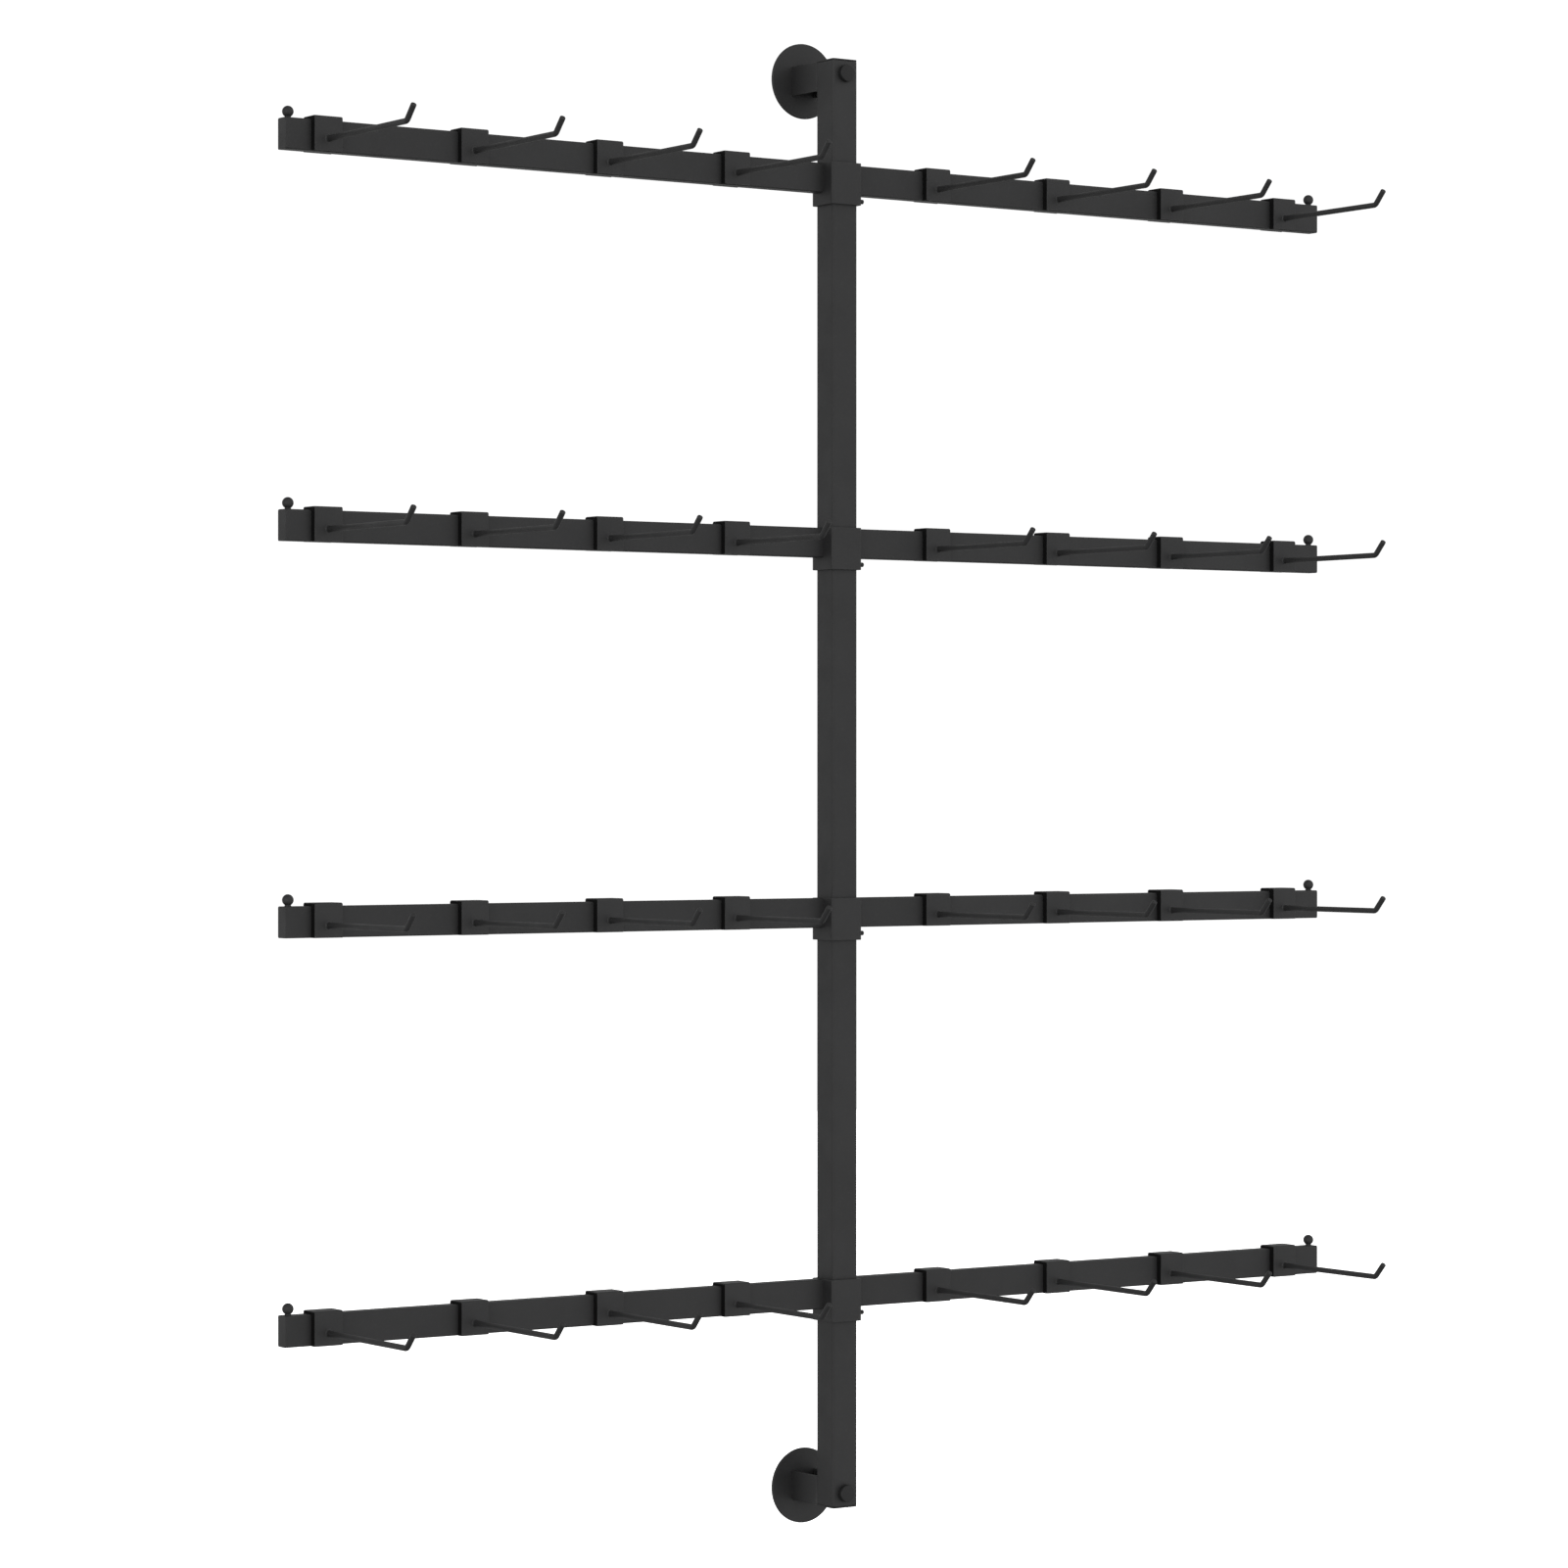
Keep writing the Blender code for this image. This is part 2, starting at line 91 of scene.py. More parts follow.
# Bolts
BOLT_SIDES = 64
BOLT_HEAD_HEIGHT = 0.0062
BOLT_HEAD_EDGE = 0.0010
BOLT_HEAD_CHAMFER = 0.0003
BOLT_CROWN = 0.0004
BOLT_CROWN_MIDDLE = 0.6  # share of the head's radius
BOLT_SHANK_RADIUS = 0.005
BOLT_SHANK_CHAMFER = 0.0006

# Arm frames
RAIL_HEIGHT = 0.030
RAIL_DEPTH = 0.015
RAIL_CORNER = 0.0016
RAIL_EDGE = 0.0007
RAIL_BEHIND_POST = 0.005
END_PLATE = 0.0020
SEAM_HALF_WIDTH = 0.0002
SEAM_DEPTH = 0.00012
SLEEVE_WALL = 0.003
SLEEVE_CORNER = 0.0026
SLEEVE_BORE_CORNER = 0.0010
SLEEVE_RIM = 0.0004
SLEEVE_ABOVE_RAIL = 0.0002

# Stop pins
PIN_SIDES = 40
PIN_FROM_END = 0.0067
PIN_NECK_RADIUS = 0.003
PIN_FOOT_FLARE = 0.0005
PIN_FOOT_HEIGHT = 0.0006
BALL_RADIUS = 0.0055
BALL_CENTRE = 0.006
BALL_START = -58  # degrees, where the ball leaves the neck
BALL_END = 89  # degrees, just short of the axis

# Set screws
SCREW_SIDES = 36
SCREW_EDGE = 0.0004
SOCKET_HALF_WIDTH = 0.00115
SOCKET_DEPTH = 0.0016
SOCKET_POINT = 0.0004

# Hooks: the clips, the near-black sheets of painted shade in their gaps and the pegs
CLIP_SHEET = 0.0012
CLIP_FRONT_SPACE = 0.0056
CLIP_TOP_SPACE = 0.0020
CLIP_REAR_SPACE = 0.0003
CLIP_BEND = 0.0022
CLIP_EDGE = 0.0005
# The near-black sheet that paints the shade in each clip's front and top gaps
GAP_SHADE_PROUD = 0.0004
GAP_SHADE_SLACK = 0.00008
GAP_SHADE_BEND = 0.0009
GAP_SHADE_RIM = 0.0002
PEG_SIDES = 28
PEG_RADIUS = 0.00285
PEG_REACH = 0.1481
PEG_DROP = 0.0032
PEG_TIP_FORWARD = 0.0131
PEG_TIP_RISE = 0.0142
PEG_BEND_RADIUS = 0.006
PEG_BEND_STEPS = 8
PEG_TIP_EDGE = 0.0009
PEG_ROOT = ((-0.0006, 0.0012), (0.0, 0.0011), (0.0003, 0.0006), (0.0008, 0.0002),
            (0.0014, 0.0))  # (reach, flare) of the weld at the peg's root


# ---------------------------------------------------------------- finishes

CLOUD_SCALE = 9.0
CLOUD_RANGE = (0.3, 0.7)
CLOUD_CONTRAST = 0.08
SPECK_FREQUENCY = 0.35  # against that of the grain
SPECK_RANGE = (0.56, 0.72)
SPECK_SHARE = 0.25
SPECK_LEVEL = 1.5
# Lighter edges: partly real wear and partly a painted highlight
EDGE_WEAR_AND_HIGHLIGHT_REACH = 0.0009
EDGE_WEAR_AND_HIGHLIGHT_RANGE = (0.985, 0.90)  # cosine between the flat normal and the rounded one
EDGE_WEAR_AND_HIGHLIGHT_BREAK_SCALE = 60.0
EDGE_WEAR_AND_HIGHLIGHT_BREAK_RANGE = (0.42, 0.62)
EDGE_WEAR_AND_HIGHLIGHT_LEAST = 0.15
GLOSS_SCALE = 35.0
GLOSS_RANGE = (0.3, 0.7)
GLOSS_SPREAD = 0.05
BUMP_STRENGTH = 0.6
EACH_PIECE_SHIFT = (3.1, 5.3, 7.7)  # sets the pattern of one piece apart from the next
COOL_TINT = 1.02


def node(tree, kind, **settings):
    made = tree.nodes.new(kind)
    for name, value in settings.items():
        setattr(made, name, value)
    return made


def noise(tree, coordinates, scale, detail=2.0, roughness=0.5):
    made = node(tree, "ShaderNodeTexNoise")
    made.inputs["Scale"].default_value = scale
    made.inputs["Detail"].default_value = detail
    made.inputs["Roughness"].default_value = roughness
    tree.links.new(coordinates, made.inputs["Vector"])
    return made.outputs["Fac"]


def remap(tree, value, low, high, to_low, to_high):
    made = node(tree, "ShaderNodeMapRange")
    for name, number in (("From Min", low), ("From Max", high),
                         ("To Min", to_low), ("To Max", to_high)):
        made.inputs[name].default_value = number
    tree.links.new(value, made.inputs["Value"])
    return made.outputs["Result"]


def mix_colour(tree, share, first, second):
    made = node(tree, "ShaderNodeMix", data_type="RGBA")
    tree.links.new(share, made.inputs["Factor"])
    for socket, colour in ((made.inputs[6], first), (made.inputs[7], second)):
        if isinstance(colour, tuple):
            socket.default_value = (*colour, 1.0)
        else:
            tree.links.new(colour, socket)
    return made.outputs[2]


def grey(level):
    return (level, level, level * COOL_TINT)


def edge_wear_and_highlight(tree, at):
    """Up to 1 along sharp edges, broken up as wear is, and 0 on open faces: a mask for edges
    lightened partly by wear and partly as a painted highlight.
    """
    edge = node(tree, "ShaderNodeBevel", samples=4)
    edge.inputs["Radius"].default_value = EDGE_WEAR_AND_HIGHLIGHT_REACH
    flat = node(tree, "ShaderNodeNewGeometry")
    across = node(tree, "ShaderNodeVectorMath", operation="DOT_PRODUCT")
    tree.links.new(edge.outputs["Normal"], across.inputs[0])
    tree.links.new(flat.outputs["Normal"], across.inputs[1])
    rim = remap(tree, across.outputs["Value"], *EDGE_WEAR_AND_HIGHLIGHT_RANGE, 0.0, 1.0)
    broken = remap(tree, noise(tree, at, EDGE_WEAR_AND_HIGHLIGHT_BREAK_SCALE, 4.0, 0.6), *EDGE_WEAR_AND_HIGHLIGHT_BREAK_RANGE,
                   EDGE_WEAR_AND_HIGHLIGHT_LEAST, 1.0)
    both = node(tree, "ShaderNodeMath", operation="MULTIPLY")
    tree.links.new(rim, both.inputs[0])
    tree.links.new(broken, both.inputs[1])
    return both.outputs["Value"]


def finish(name, level, roughness, specular, grain, depth, worn_and_highlit=None):
    """A dark finish: cloudy tone, fine surface grain and slightly lighter edges, partly wear
    and partly a painted highlight.

    grain is the size of the surface's bumps and depth their height, in metres. level is
    the tone of open faces and worn_and_highlit, where given, that of the edges, which are
    lighter partly from wear and partly as a painted highlight.
    """
    material = bpy.data.materials.new(name)
    material.use_nodes = True
    tree = material.node_tree
    shader = tree.nodes["Principled BSDF"]
    shader.inputs["Specular IOR Level"].default_value = specular
    place = node(tree, "ShaderNodeTexCoord")
    which = node(tree, "ShaderNodeObjectInfo")
    shift = node(tree, "ShaderNodeVectorMath", operation="MULTIPLY_ADD")
    tree.links.new(which.outputs["Random"], shift.inputs[0])
    shift.inputs[1].default_value = EACH_PIECE_SHIFT
    tree.links.new(place.outputs["Object"], shift.inputs[2])
    at = shift.outputs["Vector"]

    clouds = noise(tree, at, CLOUD_SCALE, 3.0)
    specks = noise(tree, at, SPECK_FREQUENCY / grain, 2.0)
    tone = mix_colour(tree, remap(tree, clouds, *CLOUD_RANGE, 0.0, 1.0),
                      grey(level * (1 - CLOUD_CONTRAST)), grey(level * (1 + CLOUD_CONTRAST)))
    tone = mix_colour(tree, remap(tree, specks, *SPECK_RANGE, 0.0, SPECK_SHARE), tone,
                      grey(level * SPECK_LEVEL))
    # lighter edges, partly wear and partly a painted highlight
    if worn_and_highlit:
        tone = mix_colour(tree, edge_wear_and_highlight(tree, at), tone, grey(worn_and_highlit))
    tree.links.new(tone, shader.inputs["Base Color"])

    uneven = remap(tree, noise(tree, at, GLOSS_SCALE, 3.0), *GLOSS_RANGE,
                   roughness - GLOSS_SPREAD, roughness + GLOSS_SPREAD)
    tree.links.new(uneven, shader.inputs["Roughness"])
    bump = node(tree, "ShaderNodeBump")
    bump.inputs["Strength"].default_value = BUMP_STRENGTH
    bump.inputs["Distance"].default_value = depth
    tree.links.new(noise(tree, at, 1.0 / grain, 2.0, 0.55), bump.inputs["Height"])
    tree.links.new(bump.outputs["Normal"], shader.inputs["Normal"])
    return material


# The edge tones given below are partly wear and partly a painted highlight
PAINT = finish("matte_powder_coat", level=0.0200, roughness=0.53, specular=0.235,
               grain=0.0009, depth=0.00005, worn_and_highlit=0.046)
PLASTIC = finish("moulded_plastic", level=0.0230, roughness=0.55, specular=0.14,
                 grain=0.0006, depth=0.00002, worn_and_highlit=0.030)
STEEL = finish("black_oxide_steel", level=0.0150, roughness=0.42, specular=0.16,
               grain=0.0005, depth=0.00001, worn_and_highlit=0.050)
# Near-black painted shade for the gap between each clip and its rail
GAP_SHADE = finish("painted_gap_shade", level=0.0050, roughness=0.85, specular=0.06,
                grain=0.0005, depth=0.00003)


# ---------------------------------------------------------------- mesh tools

WELD_DISTANCE = 0.000002
SHORTEST_EDGE = 0.000001
SMOOTH_ANGLE = 40
ALONG_X = Matrix(((0, 0, 1, 0), (1, 0, 0, 0), (0, 1, 0, 0), (0, 0, 0, 1)))
TOWARDS_ROOM = Matrix.Rotation(radians(90), 4, "X")


def arc(centre, radius, start_deg, end_deg, steps):
    step = (end_deg - start_deg) / steps
    angles = [radians(start_deg + step * i) for i in range(steps + 1)]
    return [(centre[0] + radius * cos(a), centre[1] + radius * sin(a)) for a in angles]


def rounded_rectangle(width, height, corner, steps=6):
    x, y = width / 2 - corner, height / 2 - corner
    points = []
    for centre, start in (((x, y), 0), ((-x, y), 90), ((-x, -y), 180), ((x, -y), 270)):
        points += arc(centre, corner, start, start + 90, steps)
    return points


def circle(radius, sides, centre=(0, 0)):
    return arc(centre, radius, 0, 360 * (sides - 1) / sides, sides - 1)


def quarter_round(edge, steps=6):
    """(inset, drop) pairs round an edge, from the side face to the end face."""
    angles = [radians(90 * i / steps) for i in range(steps + 1)]
    return [(edge * (1 - cos(a)), edge * (1 - sin(a))) for a in angles]


def cleaned(mesh, angle_deg=SMOOTH_ANGLE):
    """Welds loose rims, turns the faces outwards and smooths all but the sharp edges."""
    work = bmesh.new()
    work.from_mesh(mesh)
    bmesh.ops.remove_doubles(work, verts=work.verts, dist=WELD_DISTANCE)
    bmesh.ops.dissolve_degenerate(work, edges=work.edges, dist=SHORTEST_EDGE)
    bmesh.ops.recalc_face_normals(work, faces=work.faces)
    work.to_mesh(mesh)
    work.free()
    mesh.shade_smooth()
    mesh.set_sharp_from_angle(angle=radians(angle_deg))
    return mesh


def plate(outlines, length, rim, turn=None, centre=(0, 0, 0)):
    """An extruded outline with rounded rims; later outlines are holes in the first."""
    curve = bpy.data.curves.new("outline", "CURVE")
    curve.dimensions = "2D"
    curve.fill_mode = "BOTH"
    curve.extrude = length / 2 - rim
    curve.bevel_depth = rim
    curve.bevel_resolution = 2
    curve.offset = -rim
    for outline in outlines:
        spline = curve.splines.new("POLY")
        spline.points.add(len(outline) - 1)
        for point, (x, y) in zip(spline.points, outline):
            point.co = (x, y, 0, 1)
        spline.use_cyclic_u = True
    holder = bpy.data.objects.new("outline", curve)
    bpy.context.scene.collection.objects.link(holder)
    bpy.context.view_layer.update()
    graph = bpy.context.evaluated_depsgraph_get()
    mesh = bpy.data.meshes.new_from_object(holder.evaluated_get(graph))
    bpy.data.objects.remove(holder, do_unlink=True)
    bpy.data.curves.remove(curve)
    mesh.transform(Matrix.Translation(centre) @ (turn or Matrix()))
    return cleaned(mesh)


def skin(rings, angle_deg=SMOOTH_ANGLE):
    """A closed surface through rings of equal length, capped at both ends."""
    work = bmesh.new()
    rows = [[work.verts.new(point) for point in ring] for ring in rings]
    count = len(rows[0])
    for low, high in zip(rows, rows[1:]):
        for i in range(count):
            j = (i + 1) % count
            work.faces.new((low[i], low[j], high[j], high[i]))
    work.faces.new(list(reversed(rows[0])))
    work.faces.new(rows[-1])
    mesh = bpy.data.meshes.new("skin")
    work.to_mesh(mesh)
    work.free()
    return cleaned(mesh, angle_deg)


def turned(profile, sides, turn=None, centre=(0, 0, 0), angle_deg=SMOOTH_ANGLE):
    """A solid of revolution about Z from (radius, height) points."""
    rings = [[(r * cos(2 * pi * i / sides), r * sin(2 * pi * i / sides), z)
              for i in range(sides)] for r, z in profile]
    mesh = skin(rings, angle_deg)
    mesh.transform(Matrix.Translation(centre) @ (turn or Matrix()))
    return mesh


def join(*meshes):
    """Several closed meshes as one, keeping their sharp edges."""
    work = bmesh.new()
    for mesh in meshes:
        work.from_mesh(mesh)
    made = bpy.data.meshes.new("joined")
    work.to_mesh(made)
    work.free()
    made.shade_smooth()
    made.set_sharp_from_angle(angle=radians(SMOOTH_ANGLE))
    return made


def even_shading(mesh):
    """Keeps wide flat faces flat beside their rounded corners: normals weighted by area."""
    holder = bpy.data.objects.new("holder", mesh)
    bpy.context.scene.collection.objects.link(holder)
    weighted = holder.modifiers.new("weighted", "WEIGHTED_NORMAL")
    weighted.mode = "FACE_AREA"
    weighted.keep_sharp = True
    bpy.context.view_layer.update()
    graph = bpy.context.evaluated_depsgraph_get()
    shaded = bpy.data.meshes.new_from_object(holder.evaluated_get(graph))
    mesh.normals_split_custom_set([corner.vector.copy() for corner in shaded.corner_normals])
    bpy.data.objects.remove(holder, do_unlink=True)
    bpy.data.meshes.remove(shaded)


def piece(name, mesh, material, body, replaced=(), location=(0, 0, 0)):
    """Puts a mesh in the scene, on its body, in place of the solids it stands for.

    A mesh that several pieces share gets its material and its normals at its first use.
    """
    if not mesh.materials:
        mesh.materials.append(material)
        even_shading(mesh)
    made = bpy.data.objects.new(name, mesh)
    made.location = location
    bpy.context.scene.collection.objects.link(made)
    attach(made, body)
    if replaced:
        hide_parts(*replaced)
    return made


# ---------------------------------------------------------------- post and wall fixing

post_low, post_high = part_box("post")
POST_WIDTH = post_high.x - post_low.x
POST_Y = (post_low.y + post_high.y) / 2


def make_post():
    length = post_high.z - post_low.z
    tube = plate([rounded_rectangle(POST_WIDTH, POST_WIDTH, POST_CORNER, 8)], length,
                 POST_RIM, centre=(0, POST_Y, (post_low.z + post_high.z) / 2))
    piece("post_tube", tube, PAINT, "rack", ["post"])


def make_cap(node_name, side):
    """A plug: a square head with a rounded outer rim and a shank inside the tube."""
    low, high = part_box(node_name)
    outer = high.z if side > 0 else low.z
    inner = outer - side * CAP_HEAD
    stations = [(FINE_STEP, inner), (0.0, inner + side * FINE_STEP)]
    stations += [(inset, outer - side * drop) for inset, drop in quarter_round(CAP_EDGE)]
    rings = []
    for inset, height in stations:
        width = POST_WIDTH - 2 * inset
        rings.append([(x, POST_Y + y, height) for x, y in
                      rounded_rectangle(width, width, POST_CORNER - inset, 8)])
    head = skin(rings)
    width = POST_WIDTH - 2 * CAP_SHANK_INSET
    shank = skin([[(x, POST_Y + y, z) for x, y in rounded_rectangle(
        width, width, CAP_SHANK_CORNER, 3)] for z in (inner, inner - side * CAP_SHANK_LENGTH)])
    piece(node_name + "_plug", join(head, shank), PLASTIC, "rack",
          [node_name])


def make_flange(node_name):
    low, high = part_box(node_name)
    radius = (high.x - low.x) / 2
    thickness = high.y - low.y
    height = (low.z + high.z) / 2
    holes = [circle(WALL_HOLE_RADIUS, WALL_HOLE_SIDES, (x, 0))
             for x in (-WALL_HOLE_OFFSET, WALL_HOLE_OFFSET)]
    disc = plate([circle(radius, FLANGE_SIDES), *holes], thickness, FLANGE_EDGE,
                 TOWARDS_ROOM, (0, (low.y + high.y) / 2, height))
    piece(node_name + "_disc", disc, PAINT, "rack", [node_name])


def fillet_mesh(side, near, bottom, top):
    """A sliver in the groove between the post's rounded rear corner and the standoff."""
    half = POST_WIDTH / 2
    radius = POST_CORNER + HAIR_GAP
    turn_x, turn_y = half - POST_CORNER, near - HAIR_GAP - POST_CORNER
    curve = [(turn_x + radius * sin(radians(a)), turn_y + radius * cos(radians(a)))
             for a in range(0, FILLET_SWEEP + 1, FILLET_STEP)]
    outer, back = half - FILLET_INSET, near + FILLET_OVERLAP
    outline = [*curve, (outer, curve[-1][1]), (outer, back), (turn_x, back)]
    return skin([[(side * x, y, z) for x, y in outline] for z in (bottom, top)])


def make_standoff(node_name, opens):
    """A channel whose open side looks up (opens = 1) or down (-1), closed at the post."""
    low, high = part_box(node_name)
    half, corner, wall = (high.x - low.x) / 2, STANDOFF_CORNER, STANDOFF_WALL
    middle = (low.z + high.z) / 2
    near = post_high.y + HAIR_GAP
    depth = high.y - near
    outer = [(half, half), *arc((half - corner, -half + corner), corner, 0, -90, 6),
             *arc((-half + corner, -half + corner), corner, -90, -180, 6), (-half, half)]
    inside, soft = half - wall, STANDOFF_INNER_CORNER
    inner = [(-inside, half), *arc((-inside + soft, -inside + soft), soft, 180, 270, 3),
             *arc((inside - soft, -inside + soft), soft, 270, 360, 3), (inside, half)]
    upright = Matrix.Diagonal((1, 1, opens, 1))
    channel = plate([outer + inner], depth, STANDOFF_RIM, upright @ TOWARDS_ROOM,
                    (0, (near + high.y) / 2, middle))
    nose = plate([[(x, y + wall / 2) for x, y in rounded_rectangle(
        2 * (inside + NOSE_OVERLAP), 2 * half - wall, soft, 3)]], STANDOFF_NOSE, NOSE_RIM,
        upright @ TOWARDS_ROOM, (0, near + STANDOFF_NOSE / 2, middle))
    fillets = [fillet_mesh(side, near, low.z + FILLET_END_GAP, high.z - FILLET_END_GAP)
               for side in (-1, 1)]
    piece(node_name + "_channel", join(channel, nose, *fillets), PAINT, "rack",
          [node_name])


def make_bolt(node_name):
    """The bolt from its shank's end to its head, whose top is slightly crowned."""
    low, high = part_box(node_name)
    radius = (high.x - low.x) / 2
    head, edge = BOLT_HEAD_HEIGHT, BOLT_HEAD_EDGE
    height = (low.z + high.z) / 2
    shank = high.y - (low.y + head) - FINE_STEP
    shoulder = head - BOLT_CROWN
    profile = [(AXIS, -shank), (BOLT_SHANK_RADIUS - BOLT_SHANK_CHAMFER, -shank),
               (BOLT_SHANK_RADIUS, -shank + BOLT_SHANK_CHAMFER),
               (BOLT_SHANK_RADIUS, FINE_STEP), (radius - BOLT_HEAD_CHAMFER, FINE_STEP),
               (radius, FINE_STEP + BOLT_HEAD_CHAMFER),
               *arc((radius - edge, shoulder - edge), edge, 0, 90, 6),
               (BOLT_CROWN_MIDDLE * radius, head - BOLT_CROWN / 4), (AXIS, head)]
    bolt = turned(profile, BOLT_SIDES, TOWARDS_ROOM, (0, low.y + head, height),
                  angle_deg=50)
    piece(node_name + "_solid", bolt, STEEL, "rack", [node_name])


def paint_nut(node_name):
    """The hidden nut keeps its own solid."""
    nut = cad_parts[node_name]
    nut.data.materials.clear()
    nut.data.materials.append(STEEL)


# ---------------------------------------------------------------- arms

RAIL_Y = POST_Y + RAIL_BEHIND_POST


def arm_height(number):
    """Height of a rail's centre line."""
    low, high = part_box(f"arm_{number}_frame")
    return high.z - SLEEVE_ABOVE_RAIL - RAIL_HEIGHT / 2


arm_low, arm_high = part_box("arm_1_frame")
RAIL_HALF_LENGTH = arm_high.x
SLEEVE_OUTSIDE = 2 * (POST_Y - arm_low.y)
SLEEVE_HEIGHT = arm_high.z - arm_low.z


def rail_mesh(side):
    """One half of the rail and, past a fine seam, the plate that closes its end."""
    inner = SLEEVE_OUTSIDE / 2 - SLEEVE_WALL / 2
    seam = RAIL_HALF_LENGTH - END_PLATE
    stations = [(inner, 0.0), (seam - SEAM_HALF_WIDTH, 0.0), (seam, SEAM_DEPTH),
                (seam + SEAM_HALF_WIDTH, 0.0)]
    stations += [(RAIL_HALF_LENGTH - drop, inset) for inset, drop in quarter_round(RAIL_EDGE)]
    rings = []
    for x, inset in stations:
        rings.append([(side * x, RAIL_Y + y, z) for y, z in rounded_rectangle(
            RAIL_DEPTH - 2 * inset, RAIL_HEIGHT - 2 * inset, RAIL_CORNER - inset, 6)])
    return skin(rings, angle_deg=50)


def sleeve_mesh():
    bore = SLEEVE_OUTSIDE - 2 * SLEEVE_WALL
    middle = RAIL_HEIGHT / 2 + SLEEVE_ABOVE_RAIL - SLEEVE_HEIGHT / 2
    outlines = [rounded_rectangle(SLEEVE_OUTSIDE, SLEEVE_OUTSIDE, SLEEVE_CORNER, 8),
                rounded_rectangle(bore, bore, SLEEVE_BORE_CORNER, 3)]
    return plate(outlines, SLEEVE_HEIGHT, SLEEVE_RIM, centre=(0, POST_Y, middle))


def stop_pin_mesh():
    """A short neck with a flared foot and a ball on top."""
    neck, flare, foot = PIN_NECK_RADIUS, PIN_FOOT_FLARE, PIN_FOOT_HEIGHT
    ball = arc((0, BALL_CENTRE), BALL_RADIUS, BALL_START, BALL_END, 20)
    ball_foot = ball[0][1]
    profile = [(AXIS, 0.0), (neck + flare, 0.0), (neck + 0.8 * flare, foot / 2), (neck, foot),
               (neck, ball_foot - FINE_STEP), *ball]
    return turned(profile, PIN_SIDES, angle_deg=60)


def ring_across_x(size, x, hexagon=False):
    """A ring about X: a circle of radius size, or a hexagon with flats at that distance."""
    points = []
    for i in range(SCREW_SIDES):
        a = 2 * pi * i / SCREW_SIDES
        reach = size
        if hexagon:
            reach = size / cos((a + pi / 6) % (pi / 3) - pi / 6)
        points.append((x, reach * cos(a), reach * sin(a)))
    return points


def set_screw_mesh(low, high):
    """A grub screw with a hexagon socket, drawn along +X from its inner end."""
    radius = (high.y - low.y) / 2
    length = high.x - low.x
    socket_floor = length - SOCKET_DEPTH
    mesh = skin([ring_across_x(AXIS, 0), ring_across_x(radius, 0),
                 ring_across_x(radius, length - SCREW_EDGE),
                 ring_across_x(radius - SCREW_EDGE, length),
                 ring_across_x(SOCKET_HALF_WIDTH, length, True),
                 ring_across_x(SOCKET_HALF_WIDTH, socket_floor, True),
                 ring_across_x(AXIS, socket_floor - SOCKET_POINT)], angle_deg=35)
    mesh.transform(Matrix.Translation((low.x, 0, 0)))
    return mesh


# ---------------------------------------------------------------- hooks

def clip_outline():
    """Side view of the clip's sheet as (y, z) points about the rail's centre line."""
    front = -RAIL_DEPTH / 2 - CLIP_FRONT_SPACE - CLIP_SHEET
    rear = RAIL_DEPTH / 2 + CLIP_REAR_SPACE + CLIP_SHEET
    top = RAIL_HEIGHT / 2 + CLIP_TOP_SPACE + CLIP_SHEET
    foot = -RAIL_HEIGHT / 2
    bend, inside = CLIP_BEND, CLIP_BEND - CLIP_SHEET
    front_centre, rear_centre = (front + bend, top - bend), (rear - bend, top - bend)
    outer = [(front, foot), *arc(front_centre, bend, 180, 90, 8),
             *arc(rear_centre, bend, 90, 0, 8), (rear, foot)]
    inner = [(rear - CLIP_SHEET, foot), *arc(rear_centre, inside, 0, 90, 5),
             *arc(front_centre, inside, 90, 180, 5), (front + CLIP_SHEET, foot)]
    return outer + inner, front


def gap_shade_outline():
    """A near-black sheet of painted shade fills the clip's front and top spaces; an L seen
    from the side.
    """
    slack, bend = GAP_SHADE_SLACK, GAP_SHADE_BEND
    front = -RAIL_DEPTH / 2 - CLIP_FRONT_SPACE + slack
    top = RAIL_HEIGHT / 2 + CLIP_TOP_SPACE - slack
    back = -RAIL_DEPTH / 2 - slack
    under = RAIL_HEIGHT / 2 + slack
    rear = RAIL_DEPTH / 2
    foot = -RAIL_HEIGHT / 2
    return [(front, foot), *arc((front + bend, top - bend), bend, 180, 90, 5), (rear, top),
            (rear, under), (back, under), (back, foot)]


def peg_mesh(front):
    """The wire: a flared root on the clip, a straight run, a bend and a rounded tip."""
    start = Vector((0, front, -PEG_DROP))
    corner = start + Vector((0, -PEG_REACH, 0))
    tip = corner + Vector((0, -PEG_TIP_FORWARD, PEG_TIP_RISE))
    into = Vector((0, -1, 0))
    out = (tip - corner).normalized()
    turn = into.angle(out)
    setback = PEG_BEND_RADIUS * tan(turn / 2)
    centre = corner - into * setback + Vector((0, 0, PEG_BEND_RADIUS))
    stations = [(start + into * reach, into, PEG_RADIUS + flare) for reach, flare in PEG_ROOT]
    for i in range(PEG_BEND_STEPS + 1):
        angle = turn * i / PEG_BEND_STEPS
        direction = Vector((0, -cos(angle), sin(angle)))
        point = centre + PEG_BEND_RADIUS * Vector((0, -sin(angle), -cos(angle)))
        stations.append((point, direction, PEG_RADIUS))
    stations += [(tip - out * drop, out, PEG_RADIUS - inset)
                 for inset, drop in quarter_round(PEG_TIP_EDGE)]
    side = Vector((1, 0, 0))
    rings = []
    for point, direction, radius in stations:
        up = side.cross(direction)
        rings.append([point + radius * (cos(2 * pi * i / PEG_SIDES) * side
                                        + sin(2 * pi * i / PEG_SIDES) * up)
                      for i in range(PEG_SIDES)])
    return skin(rings, angle_deg=50)


def hook_mesh(width):
    outline, front = clip_outline()
    return join(plate([outline], width, CLIP_EDGE, ALONG_X), peg_mesh(front))


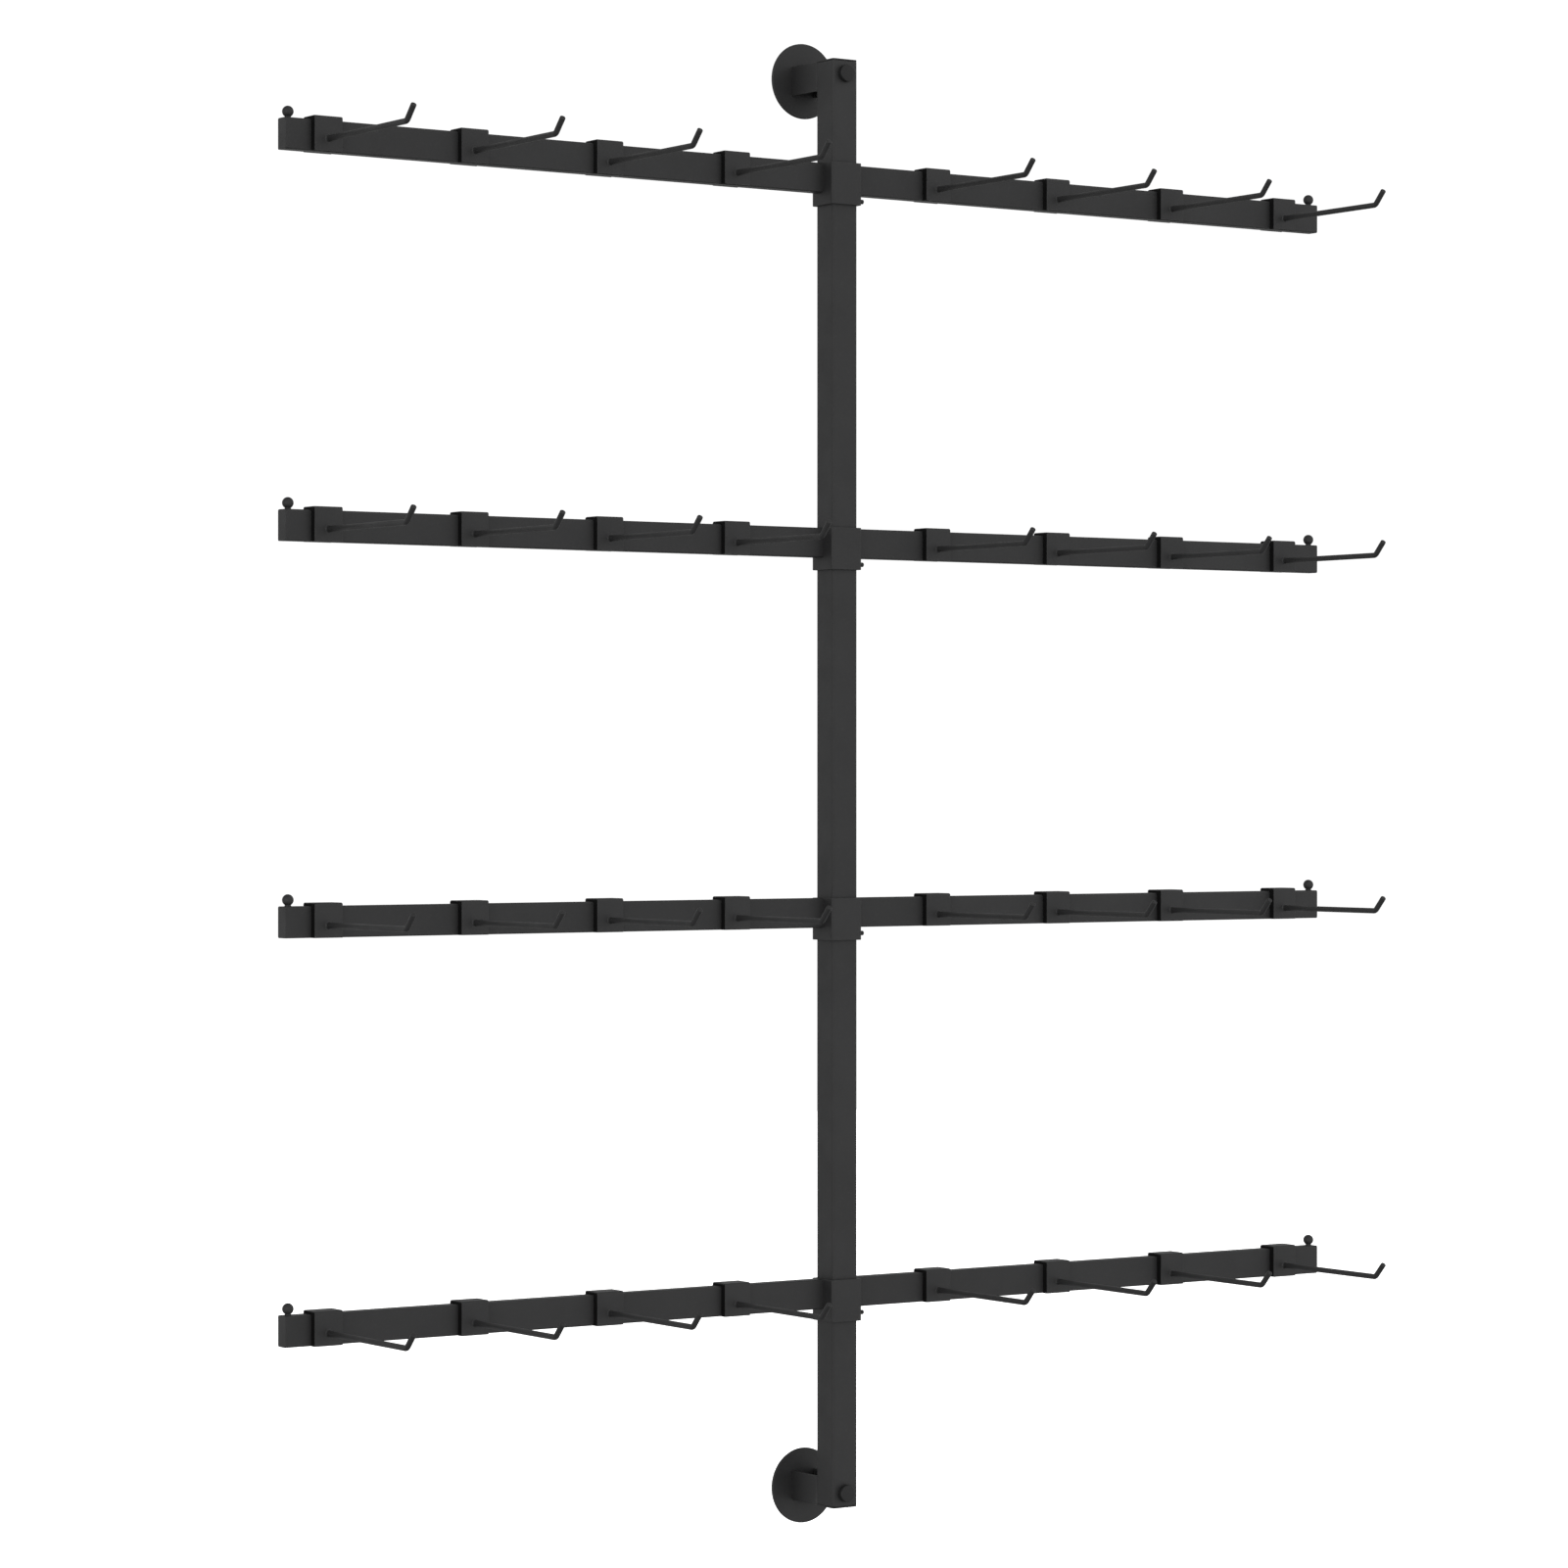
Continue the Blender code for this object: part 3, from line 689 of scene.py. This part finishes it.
def make_arm_frame(number, rails, sleeve):
    arm, place = f"arm_{number}", (0, 0, arm_height(number))
    piece(f"{arm}_rails", rails, PAINT, arm, [f"{arm}_frame"], place)
    piece(f"{arm}_sleeve", sleeve, PAINT, arm, [], place)


def make_stop_pins(number, pin):
    arm, top = f"arm_{number}", arm_height(number) + RAIL_HEIGHT / 2
    for side, sign in (("left", -1), ("right", 1)):
        piece(f"{arm}_{side}_ball_pin", pin, PAINT, arm,
              [f"{arm}_{side}_stop_pin"],
              (sign * (RAIL_HALF_LENGTH - PIN_FROM_END), RAIL_Y, top))


def make_set_screw(number):
    node_name = f"arm_{number}_set_screw"
    low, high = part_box(node_name)
    piece(f"arm_{number}_grub_screw", set_screw_mesh(low, high), STEEL,
          f"set_screw_{number}", [node_name],
          (0, (low.y + high.y) / 2, (low.z + high.z) / 2))


def make_hooks(number, hook, gap_shade_sheet):
    for place in range(1, HOOKS + 1):
        node_name, body = f"arm_{number}_hook_{place}", f"hook_{number}_{place}"
        low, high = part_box(node_name)
        middle = ((low.x + high.x) / 2, RAIL_Y, arm_height(number))
        piece(f"arm_{number}_clip_{place}", hook, PAINT, body,
              [node_name], middle)
        # the near-black sheet of painted shade in the clip's gap
        piece(f"arm_{number}_lining_{place}", gap_shade_sheet, GAP_SHADE, body, [],
              middle)


def make_arms():
    """The four arms share one mesh of each kind, apart from the set screws."""
    low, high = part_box("arm_1_hook_1")
    width = high.x - low.x
    rails = join(rail_mesh(-1), rail_mesh(1))
    sleeve = sleeve_mesh()
    pin = stop_pin_mesh()
    hook = hook_mesh(width)
    # one near-black sheet of painted shade, shared by every clip's gap
    gap_shade_sheet = plate([gap_shade_outline()], width + 2 * GAP_SHADE_PROUD, GAP_SHADE_RIM, ALONG_X)
    for number in range(1, ARMS + 1):
        make_arm_frame(number, rails, sleeve)
        make_stop_pins(number, pin)
        make_set_screw(number)
        make_hooks(number, hook, gap_shade_sheet)


# ---------------------------------------------------------------- stage, lights, camera

FLOOR_Z = -0.75
FLOOR_HALF_WIDTH = 14
FLOOR_TONE = 0.93
CAMERA_PLACE = (-2.8352, -4.1532, 0.7182)
CAMERA_TURN = -34.107
CAMERA_LENS = 112.65
CAMERA_SENSOR = 36
BACKDROP_LEVEL = 1.05  # what the camera sees past the rack
GLOW_BELOW = 0.22  # what lights the rack from straight below, the sides and above
GLOW_LEVEL = 0.68
GLOW_ABOVE = 0.35
LIGHT_DISTANCE = 3  # only where the lamp is drawn; its light is parallel
SOFTBOXES = (  # name, direction that the light comes from, width in degrees, power
    ("key_softbox", (0.42, -0.88, 0.30), 126, 1.56),
    ("rim_softbox", (-0.62, 0.78, 0.05), 70, 0.20),
    ("left_softbox", (-0.88, -0.47, 0.05), 60, 1.28),
)


def neutral(level):
    return (level, level, level, 1)


def make_floor():
    """A floor as pale as the backdrop, which sends no light back to the rack."""
    mesh = bpy.data.meshes.new("floor")
    work = bmesh.new()
    bmesh.ops.create_grid(work, x_segments=1, y_segments=1, size=FLOOR_HALF_WIDTH)
    work.to_mesh(mesh)
    work.free()
    floor = bpy.data.objects.new("floor", mesh)
    floor.location = (0, 0, FLOOR_Z)
    bpy.context.scene.collection.objects.link(floor)
    material = bpy.data.materials.new("pale_floor")
    material.use_nodes = True
    shader = material.node_tree.nodes["Principled BSDF"]
    shader.inputs["Base Color"].default_value = neutral(FLOOR_TONE)
    shader.inputs["Roughness"].default_value = 0.9
    shader.inputs["Specular IOR Level"].default_value = 0.1
    shader.inputs["Emission Color"].default_value = neutral(1)
    shader.inputs["Emission Strength"].default_value = 1.0
    mesh.materials.append(material)
    floor.visible_diffuse = False
    floor.visible_glossy = False


def make_world():
    """A white backdrop for the camera and a softer glow, by height, for everything else."""
    world = bpy.data.worlds.new("studio")
    bpy.context.scene.world = world
    world.use_nodes = True
    tree = world.node_tree
    tree.nodes.clear()
    seen = node(tree, "ShaderNodeBackground")
    seen.inputs["Color"].default_value = neutral(1)
    seen.inputs["Strength"].default_value = BACKDROP_LEVEL
    glow = node(tree, "ShaderNodeBackground")
    glow.inputs["Color"].default_value = neutral(1)
    place = node(tree, "ShaderNodeTexCoord")
    split = node(tree, "ShaderNodeSeparateXYZ")
    tree.links.new(place.outputs["Generated"], split.inputs["Vector"])
    glow_level = node(tree, "ShaderNodeValToRGB")
    ramp = glow_level.color_ramp
    ramp.elements[0].color = neutral(GLOW_BELOW)
    ramp.elements[1].color = neutral(GLOW_ABOVE)
    ramp.elements.new(0.5).color = neutral(GLOW_LEVEL)
    tree.links.new(remap(tree, split.outputs["Z"], -1.0, 1.0, 0.0, 1.0),
                   glow_level.inputs["Fac"])
    tree.links.new(glow_level.outputs["Color"], glow.inputs["Strength"])
    path = node(tree, "ShaderNodeLightPath")
    blend = node(tree, "ShaderNodeMixShader")
    output = node(tree, "ShaderNodeOutputWorld")
    tree.links.new(path.outputs["Is Camera Ray"], blend.inputs["Fac"])
    tree.links.new(glow.outputs["Background"], blend.inputs[1])
    tree.links.new(seen.outputs["Background"], blend.inputs[2])
    tree.links.new(blend.outputs["Shader"], output.inputs["Surface"])


def make_light(name, comes_from, spread_deg, power):
    """A very large, far softbox: even light from one direction over a wide cone."""
    data = bpy.data.lights.new(name, "SUN")
    data.angle = radians(spread_deg)
    data.energy = power
    light = bpy.data.objects.new(name, data)
    light.location = LIGHT_DISTANCE * Vector(comes_from)
    light.rotation_euler = Vector(comes_from).to_track_quat("Z", "Y").to_euler()
    bpy.context.scene.collection.objects.link(light)


def make_camera():
    data = bpy.data.cameras.new("camera")
    data.lens = CAMERA_LENS
    data.sensor_width = CAMERA_SENSOR
    camera = bpy.data.objects.new("camera", data)
    camera.location = CAMERA_PLACE
    camera.rotation_euler = (radians(90), 0, radians(CAMERA_TURN))
    bpy.context.scene.collection.objects.link(camera)
    bpy.context.scene.camera = camera


make_camera()
make_post()
make_cap("post_top_cap", 1)
make_cap("post_bottom_cap", -1)
for end, opens in (("lower", 1), ("upper", -1)):
    make_flange(end + "_wall_flange")
    make_standoff(end + "_standoff", opens)
    make_bolt(end + "_bolt")
    paint_nut(end + "_bolt_nut")
make_arms()

make_floor()
make_world()
for softbox in SOFTBOXES:
    make_light(*softbox)
bpy.context.scene.view_settings.view_transform = "Standard"
